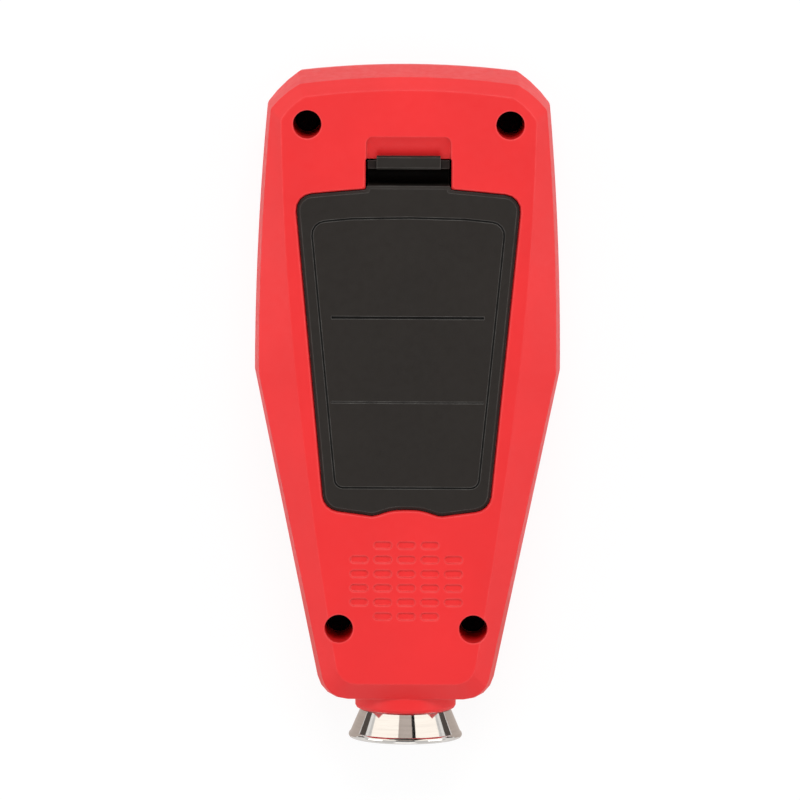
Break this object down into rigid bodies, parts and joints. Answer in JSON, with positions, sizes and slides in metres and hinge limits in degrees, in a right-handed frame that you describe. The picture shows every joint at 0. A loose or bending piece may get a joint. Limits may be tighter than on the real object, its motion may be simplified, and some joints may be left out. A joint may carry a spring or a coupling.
{
  "type": "coating thickness gauge",
  "caption": "Hand-held coating thickness gauge: tapered red case with a bevelled back, dark latch-on battery cover, keys, display and a chromed sprung probe.",
  "frame": {"origin": "under the middle of the whole box, on the plane the gauge rests on when it lies on its front", "axes": "+Y to the top end, away from the probe; +Z out of the back; +X to the right seen from behind"},
  "size_m": [0.052, 0.116, 0.025],
  "materials": {
    "red_plastic": "fine satin mould texture",
    "dark_plastic": "fine satin mould texture, charcoal",
    "black_plastic": "satin",
    "pale_plastic": "satin",
    "panel_plastic": "printed film, dark grey",
    "grey_key": "soft matt",
    "red_key": "soft matt",
    "clear_lens": "clear acrylic",
    "lcd_glass": "grey-green display glass",
    "board_green": "solder mask",
    "cell_jacket": "printed film jacket, metal ends",
    "chrome_shroud": "polished plating",
    "core_steel": "turned",
    "tip_metal": "polished hard metal",
    "spring_steel": "nickel plated",
    "zinc_steel": "zinc plated",
    "dark_steel": "black oxide",
    "copper_wire": "enamelled copper",
    "lead_jacket": "flexible jacket"
  },
  "bodies": {
    "case": {"rear_cover": "red_plastic", "front_cover": "red_plastic", "battery_tray": "black_plastic", "battery_left": "cell_jacket", "battery_right": "cell_jacket", "spring_left": "spring_steel", "spring_right": "spring_steel", "contact_link": "spring_steel", "contact_minus": "spring_steel", "contact_plus": "spring_steel", "main_board": "board_green", "board_chips": "black_plastic", "key_switches": "black_plastic", "buzzer": "black_plastic", "probe_socket": "pale_plastic", "board_screws": "zinc_steel", "case_screws": "dark_steel", "lcd_panel": "lcd_glass", "lcd_backlight": "pale_plastic", "lcd_frame": "black_plastic", "display_lens": "clear_lens", "face_panel": "panel_plastic", "probe_shroud": "chrome_shroud", "probe_cap": "black_plastic", "probe_leads": "lead_jacket", "probe_spring": "spring_steel"},
    "cover": {"battery_cover": "dark_plastic"},
    "up": {"up_key": "grey_key"},
    "down": {"down_key": "grey_key"},
    "mode": {"mode_key": "grey_key"},
    "power": {"power_key": "red_key"},
    "sensor": {"sensor_core": "core_steel", "sensor_tip": "tip_metal", "sensor_bobbin": "pale_plastic", "sensor_coil": "copper_wire"}
  },
  "joints": [
    {"name": "cover_hinge", "type": "hinge", "parent": "case", "child": "cover", "pos_m": [0, -0.0179, 0.0249], "axis": [1, 0, 0], "range_deg": [0, 75]},
    {"name": "up_press", "type": "slide", "parent": "case", "child": "up", "axis": [0, 0, 1], "range_m": [0, 0.0006], "stiffness_N_per_m": 400, "springref_m": -0.0004},
    {"name": "down_press", "type": "slide", "parent": "case", "child": "down", "axis": [0, 0, 1], "range_m": [0, 0.0006], "stiffness_N_per_m": 400, "springref_m": -0.0004},
    {"name": "mode_press", "type": "slide", "parent": "case", "child": "mode", "axis": [0, 0, 1], "range_m": [0, 0.0006], "stiffness_N_per_m": 400, "springref_m": -0.0004},
    {"name": "power_press", "type": "slide", "parent": "case", "child": "power", "axis": [0, 0, 1], "range_m": [0, 0.0006], "stiffness_N_per_m": 400, "springref_m": -0.0004},
    {"name": "sensor_slide", "type": "slide", "parent": "case", "child": "sensor", "axis": [0, 1, 0], "range_m": [0, 0.0012], "stiffness_N_per_m": 800, "springref_m": -0.0006, "deforming": ["probe_spring"]}
  ]
}
